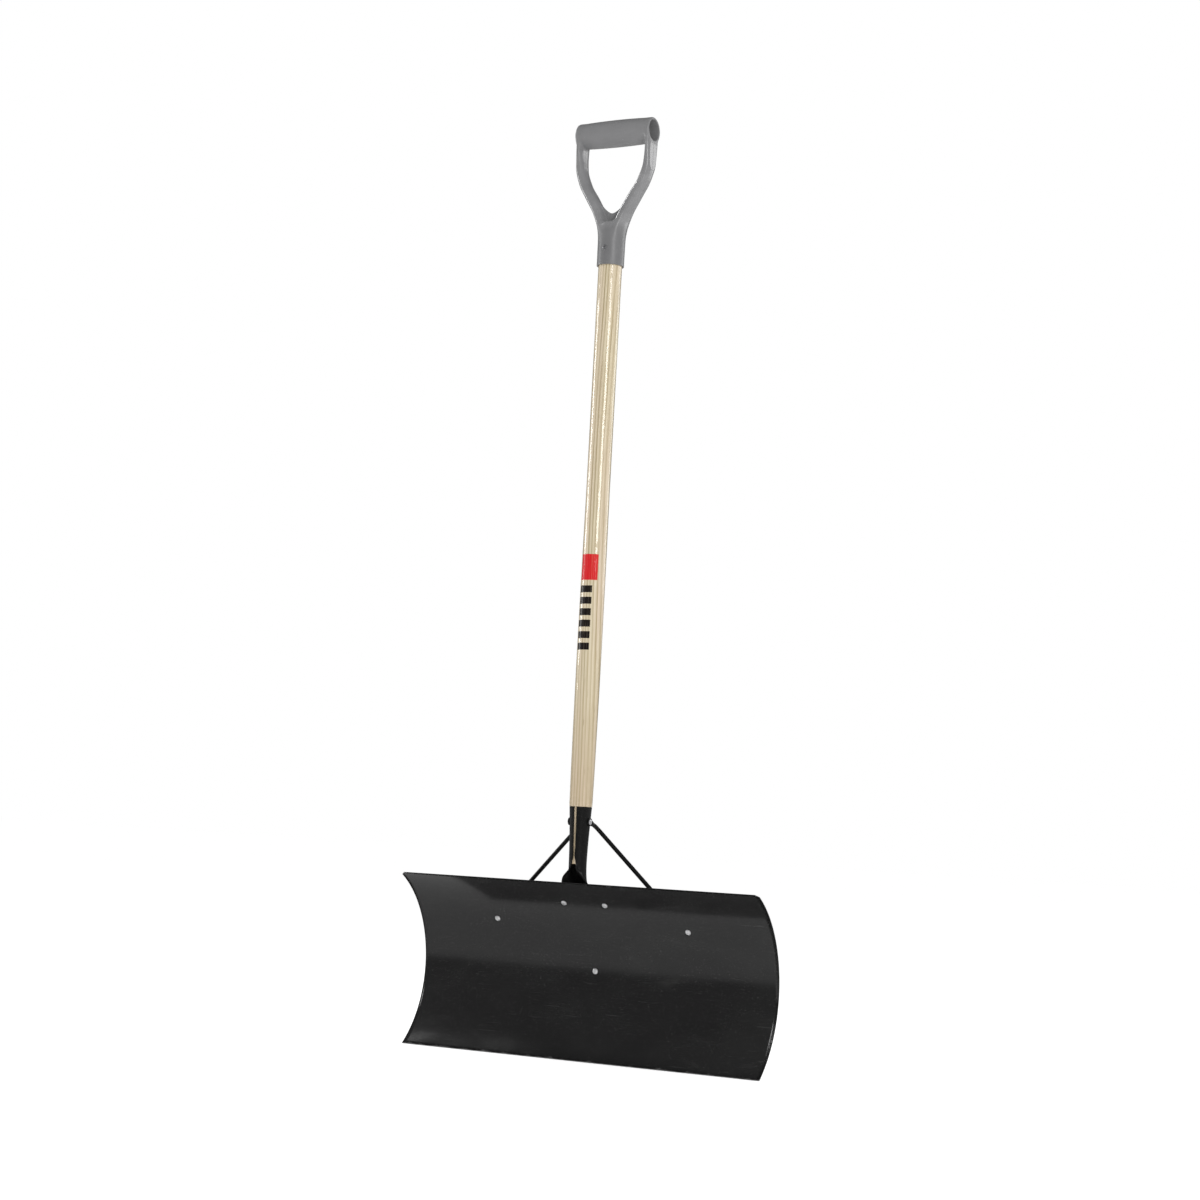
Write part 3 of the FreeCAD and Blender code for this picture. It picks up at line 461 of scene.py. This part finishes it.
def blade():
    """Rolled sheet with clipped top corners and slightly rounded edges."""
    radius = 161.0
    half_sheet = 0.75
    edge_round = 0.35
    half_width = 305.0
    clip = 6.0
    low, high = math.radians(-48), math.radians(62)
    # The cutting edge stands at the frame's origin.
    centre_y = -radius * math.cos(low)
    centre_z = -radius * math.sin(low)
    length = radius * (high - low)
    # Shares of the arc, with two more stations at the corner clips.
    shares = list(np.linspace(0, 1, 61)) + [1 - clip / length, 1 - clip / length / 2]
    shares = sorted(set(shares))
    sides = np.linspace(-1, 1, 91)
    rows = len(shares)
    columns = len(sides)

    def sheet_point(side, share, inset, height):
        """Inset shrinks the outline, and height is along the sheet's outward normal."""
        run = inset + share * (length - 2 * inset)
        cut = max(run - (length - clip), 0.0)
        angle = low + run / radius
        reach = radius + height
        return (
            side * (half_width - inset - cut),
            centre_y + reach * math.cos(angle),
            centre_z + reach * math.sin(angle),
        )

    points = []
    faces = []
    for height in (half_sheet, -half_sheet):
        faces += sheet_faces(len(points), rows, columns, height > 0)
        points += [sheet_point(side, share, edge_round, height) for share in shares for side in sides]
    # Outline of one skin, in order, then two rim rings at the sheet's full extent.
    outline = [(0, column) for column in range(columns)]
    outline += [(row, columns - 1) for row in range(1, rows)]
    outline += [(rows - 1, column) for column in range(columns - 2, -1, -1)]
    outline += [(row, 0) for row in range(rows - 2, 0, -1)]
    outer = [row * columns + column for row, column in outline]
    rings = [outer]
    for height in (half_sheet - edge_round, edge_round - half_sheet):
        rings.append(list(range(len(points), len(points) + len(outline))))
        points += [sheet_point(sides[column], shares[row], 0.0, height) for row, column in outline]
    rings.append([rows * columns + index for index in outer])
    for first, second in zip(rings, rings[1:]):
        faces += belt_faces(first, second)
    return mesh_object("blade_sheet", points, faces, BLADE_PAINT, "blade_paint", "blade")


# --- Wood shaft ----------------------------------------------------------------------------


def shaft_profile():
    """Levels and radii from the tenon's foot to the top: tenon, shoulder, swell and neck."""
    chamfer = 0.7
    foot_radius, knee_radius = 11.3, 12.4
    knee = 332.0
    lower_taper, upper_taper = 0.0268, 0.0558
    base = TENON_FOOT - chamfer
    tenon = [(base, 6.0), (base, foot_radius - chamfer), (TENON_FOOT, foot_radius)]
    for z in np.linspace(296, knee, 7):
        tenon.append((z, foot_radius + (z - TENON_FOOT) * lower_taper))
    for z in np.linspace(338, SHOULDER, 7):
        tenon.append((z, knee_radius + (z - knee) * upper_taper))
    shoulder = [(375.2, 14.9), (375.2, 16.4), (375.5, 16.9), (376.4, 17.12)]
    levels = np.linspace(380, SHAFT_TOP, 120)
    knots = (SHOULDER, 445, 600, 745, 860, 1000, SHAFT_TOP)
    girth = smooth_curve(knots, (17.1, 17.8, 18.4, 18.2, 17.7, 17.85, 18.0), levels)
    return tenon + shoulder + list(zip(levels, girth)) + [(SHAFT_TOP, 9.0)]


def shaft():
    """Turned shaft, closed at both ends."""
    around = 112
    profile = shaft_profile()
    turns = np.arange(around) * 2 * math.pi / around
    points = [(0.0, AXIS_Y, profile[0][0])]
    for level, reach in profile:
        for turn in turns:
            points.append((reach * math.sin(turn), AXIS_Y - reach * math.cos(turn), level))
    points.append((0.0, AXIS_Y, SHAFT_TOP))
    faces = turned_faces(len(profile), around)
    piece = mesh_object("turned_shaft", points, faces, WOOD, "shaft_wood", "handle_shaft")
    piece.data.set_sharp_from_angle(angle=math.radians(50))
    return piece


# --- D-grip --------------------------------------------------------------------------------


def join_smooth(first, second, blend):
    """Union of two distance fields with a fillet."""
    share = np.clip(0.5 + 0.5 * (second - first) / blend, 0, 1)
    return second + (first - second) * share - blend * share * (1 - share)


def carve(solid, tool, blend):
    """Solid with the tool taken away, with a small round on the edge."""
    return -join_smooth(-solid, tool, blend)


def collar_field(rho, z):
    """Round collar with a softly rounded crown."""
    crown = 1262.0
    crown_round = 8.0
    wall = smooth_curve((1190, 1194, 1198, 1245, 1260), (20.9, 20.8, 20.75, 21.0, 20.2), z)
    within = join_smooth(wall - rho, crown - z, crown_round)
    return -np.minimum(within, z - COLLAR_FOOT)


def arm_field(side, depth, z):
    """Both arms, and how far out their middle line stands at each level."""
    levels = (1236, 1255, 1276, 1302, 1325, 1350, 1376, TUBE_LEVEL)
    reach = smooth_curve(levels, (7.2, 13.0, 22.2, 37.2, 50.8, 58.4, 59.6, 59.2), z)
    thick = smooth_curve(levels, (8.2, 8.6, 7.6, 8.0, 7.9, 6.8, 5.0, 4.7), z)
    broad = smooth_curve(levels, (14.6, 16.6, 15.0, 13.2, 12.6, 13.8, 16.4, 18.6), z)
    lean = smooth_curve(levels, (10, 17, 29, 34, 24, 9, 0, 0), z)
    # The section is a superellipse, between an oval and a rounded box.
    power = 2.5
    across = np.abs(side - reach) * np.cos(np.radians(lean)) / thick
    along = np.abs(depth) / broad
    first = across ** (power - 1)
    second = along ** (power - 1)
    total = first * across + second * along + 1e-9
    level = total ** (1 / power)
    steep = np.sqrt((first / thick) ** 2 + (second / broad) ** 2) * total ** (1 / power - 1)
    arms = (level - 1) / (steep + 1e-6)
    return np.maximum(arms, np.maximum(levels[0] - z, z - TUBE_LEVEL)), reach


def tube_field(side, round_tube):
    """Hand tube, a little fuller in the middle, with rounded rims."""
    rim = 3.0
    end_radius = 19.6
    fuller = 1.1
    full_to = 50
    swell = end_radius + fuller * (1 - (np.clip(side, 0, full_to) / full_to) ** 2)
    skin = round_tube - swell + rim
    ends = side - TUBE_END + rim
    inner = np.minimum(np.maximum(skin, ends), 0)
    outer = np.sqrt(np.maximum(skin, 0) ** 2 + np.maximum(ends, 0) ** 2)
    return inner + outer - rim


def web_field(side, depth, z, reach):
    """Thin web between the arms, with a rounded notch."""
    half_web = 3.0
    notch = 1276.5
    foot = 1250.0
    crest = notch + 26.0 * (np.clip(side, 0, 40) / 30) ** 1.6
    web = np.maximum(np.maximum(np.abs(depth) - half_web, (z - crest) * 0.75), side - reach)
    return np.maximum(web, foot - z)


def grip_field(x, depth, z):
    """Signed distance to the D-grip, about the handle's axis, in millimetres."""
    bore_top = 1251.0
    mouth_top = 1196.0
    rho = np.sqrt(x * x + depth * depth)
    side = np.abs(x)
    round_tube = np.sqrt(depth * depth + (z - TUBE_LEVEL) ** 2)
    arms, reach = arm_field(side, depth, z)
    solid = join_smooth(collar_field(rho, z), arms, 5.0)
    solid = join_smooth(solid, web_field(side, depth, z, reach), 2.5)
    solid = join_smooth(solid, tube_field(side, round_tube), 3.5)
    # Bores: through the hand tube, and up into the collar, whose mouth is flared.
    solid = carve(solid, round_tube - TUBE_BORE, 0.9)
    socket = np.maximum(rho - COLLAR_BORE, z - bore_top)
    flare = np.clip(COLLAR_FOOT + 1.2 - z, 0, 5) * 0.9
    mouth = np.maximum(rho - COLLAR_BORE - flare, z - mouth_top)
    solid = carve(solid, np.minimum(socket, mouth), 0.5)
    # No part of the blend may stand outside the tube's ends.
    return np.maximum(solid, side - TUBE_END)


def grip():
    """D-grip moulding, skinned from its distance field."""
    voxel = 0.85
    slab = 24
    far = 3.0
    low = np.array((-66.0, -23.5, 1191.5))
    high = np.array((66.0, 23.5, 1424.0))
    counts = np.ceil((high - low) / voxel).astype(int) + 1
    x, depth, z = (low[k] + voxel * np.arange(counts[k]) for k in range(3))
    field = np.empty(counts, np.float32)
    # Slab by slab along x, to keep memory small.
    for start in range(0, counts[0], slab):
        part = slice(start, min(start + slab, counts[0]))
        here = np.meshgrid(x[part], depth, z, indexing="ij")
        field[part] = grip_field(*here)
    grid = openvdb.FloatGrid(background=far)
    grid.copyFromArray(np.clip(field, -far, far))
    points, quads = grid.convertToQuads(isovalue=0.0)
    points = points * voxel + low
    points[:, 1] += AXIS_Y
    quads = quads.astype(int)
    # Faces look outwards when the volume they enclose is positive.
    a, b, c, d = (points[quads[:, k]] for k in range(4))
    volume = np.einsum("ij,ij->i", a, np.cross(b, c) + np.cross(c, d)).sum()
    if volume < 0:
        quads = quads[:, ::-1]
    return mesh_object("d_grip_moulding", points, quads, GRIP_PLASTIC, "grip_plastic", "d_grip")


# --- Grip screw ----------------------------------------------------------------------------


def screw_head(u, v, head, height, brim):
    """Height of the pan head over a point of its seat, with the cross recess cut in."""
    arm_reach = 1.9
    half_arm = 0.42
    depth = 0.95
    soft = 0.3
    reach = math.hypot(u, v)
    dome = brim + (height - brim) * (1 - (reach / head) ** 2)
    flat = max(abs(u) - arm_reach, abs(v) - half_arm)
    upright = max(abs(v) - arm_reach, abs(u) - half_arm)
    cut = float(ease(-min(flat, upright) / soft + 0.5))
    return dome - depth * cut * (1 - 0.3 * reach / head)


def screw():
    """Pan head with a cross recess, on a plain shank."""
    head = 3.4
    height = 1.6
    brim = 0.35
    shank = 1.85
    tip = 0.4
    seat = 21.12
    around = 96
    turns = np.arange(around) * 2 * math.pi / around
    compass = [(math.cos(turn), math.sin(turn)) for turn in turns]
    # Each point: across, up, and height over the seat.
    points = [(0.0, 0.0, screw_head(0.0, 0.0, head, height, brim))]
    reaches = np.linspace(0.08, 0.98, 26) * head
    for reach in reaches:
        for cos, sin in compass:
            u, v = reach * cos, reach * sin
            points.append((u, v, screw_head(u, v, head, height, brim)))
    outline = ((head, brim), (head, 0.0), (shank, 0.0), (shank, -12.0), (tip, -18.0))
    for reach, level in outline:
        points += [(reach * cos, reach * sin, level) for cos, sin in compass]
    points.append((0.0, 0.0, -18.4))
    placed = [(u, AXIS_Y - seat - rise, SCREW_LEVEL + v) for u, v, rise in points]
    faces = turned_faces(len(reaches) + len(outline), around, flip=True)
    piece = mesh_object("cross_head_screw", placed, faces, ZINC, "zinc_plate", "grip_screw")
    piece.data.set_sharp_from_angle(angle=math.radians(50))
    return piece


blade()
shaft()
grip()
screw()

CARRIED = {
    "handle_socket": SOCKET_PAINT,
    "brace_left": BRACE_PAINT,
    "brace_right": BRACE_PAINT,
    "cross_rivet": ZINC,
    "socket_rivets": ALUMINIUM,
    "brace_rivets": ALUMINIUM,
    "socket_rivet_mandrels": ZINC,
    "brace_rivet_mandrels": ZINC,
}
for name, finish in CARRIED.items():
    for piece_slot in NODES[name].material_slots:
        piece_slot.material = finish


# --- Floor, light and camera ---------------------------------------------------------------


def floor():
    """Wide pale floor just under the cutting edge."""
    glow = 0.5
    far_glow = 0.05
    reach = 30.0
    p = Paint("pale_floor")
    mottle = p.noise(3.0, detail=3.0)
    plain = p.mix(p.spread(mottle, 0.3, 0.7), grey(0.8), grey(0.82))
    glossy = p.tree.nodes.new("ShaderNodeLightPath").outputs["Is Glossy Ray"]
    # In mirror reflections the floor glows only near the blade and is dim beyond: a painted
    # reflection for the blade.
    ahead = p.times(p.split(p.place)[1], -1.0)
    mirrored = p.spread(ahead, 0.33, 0.72, glow, far_glow)
    p.set(
        Base_Color=p.mix(glossy, plain, grey(0.0)),
        Roughness=0.9,
        Specular_IOR_Level=0.0,
        Emission_Color=grey(1.0),
        Emission_Strength=p.spread(glossy, 0.0, 1.0, glow, mirrored),
    )
    level = CAD_BOX[0][2] - 0.0005
    corners = [(-reach, -reach), (reach, -reach), (reach, reach), (-reach, reach)]
    mesh = bpy.data.meshes.new("floor")
    mesh.from_pydata([(x, y, level) for x, y in corners], [], [(0, 1, 2, 3)])
    mesh.materials.append(p.material)
    plane = bpy.data.objects.new("floor", mesh)
    bpy.context.scene.collection.objects.link(plane)


def world():
    """White behind the object, soft light for surfaces, and a dim room in reflections."""
    behind, around, mirrored = 1.0, 0.62, 0.06
    scene = bpy.context.scene
    scene.world = bpy.data.worlds.new("studio")
    scene.world.use_nodes = True
    tree = scene.world.node_tree
    background = tree.nodes["Background"]
    background.inputs["Color"].default_value = (1, 1, 1, 1)
    path = tree.nodes.new("ShaderNodeLightPath")

    def choose(test, yes, no):
        node = tree.nodes.new("ShaderNodeMix")
        node.data_type = "FLOAT"
        tree.links.new(test, node.inputs["Factor"])
        for value, socket in ((no, node.inputs["A"]), (yes, node.inputs["B"])):
            if isinstance(value, bpy.types.NodeSocket):
                tree.links.new(value, socket)
            else:
                socket.default_value = value
        return node.outputs["Result"]

    room = choose(path.outputs["Is Glossy Ray"], mirrored, around)
    light = choose(path.outputs["Is Camera Ray"], behind, room)
    tree.links.new(light, background.inputs["Strength"])


def softbox(name, azimuth, distance, height, size, power, aim, shines=True):
    """Area light facing the handle at the level aim. Azimuth is from the front,
    towards the right, and a light that doesn't shine is left out of reflections."""
    light = bpy.data.lights.new(name, "AREA")
    light.shape = "RECTANGLE"
    light.size, light.size_y = size
    light.energy = power
    lamp = bpy.data.objects.new(name, light)
    turn = math.radians(azimuth)
    spot = Vector((distance * math.sin(turn), -distance * math.cos(turn), height))
    lamp.location = spot
    lamp.rotation_euler = (Vector((0, 0, aim)) - spot).to_track_quat("-Z", "Y").to_euler()
    lamp.visible_glossy = shines
    bpy.context.scene.collection.objects.link(lamp)


def camera():
    """Camera in front, to the right and low down, held slightly askew."""
    heading, tilt, roll = 29.5217, 5.3857, 3.1086
    lens = bpy.data.cameras.new("camera")
    lens.lens = 74.26
    lens.sensor_width = 36.0
    lens.clip_end = 200.0
    view = bpy.data.objects.new("camera", lens)
    turn = Matrix.Rotation(math.radians(heading), 4, "Z")
    turn = turn @ Matrix.Rotation(math.radians(90 + tilt), 4, "X")
    turn = turn @ Matrix.Rotation(math.radians(roll), 4, "Z")
    view.matrix_world = Matrix.Translation((1.8320, -3.2301, 0.3369)) @ turn
    bpy.context.scene.collection.objects.link(view)
    bpy.context.scene.camera = view


floor()
world()
softbox("key", 62, 3.4, 2.6, (1.6, 1.6), 34, aim=0.8, shines=False)
softbox("strip_right", 47, 3.0, 1.48, (0.8, 0.85), 24, aim=1.0)
softbox("strip_left", -80, 2.4, 1.2, (0.6, 0.9), 17, aim=0.9)
softbox("edge_left", -84, 3.0, 3.1, (0.5, 0.5), 26, aim=1.3)
softbox("rim", 150, 3.0, 1.8, (1.2, 1.6), 18, aim=0.7)
camera()
bpy.context.scene.view_settings.view_transform = "Standard"
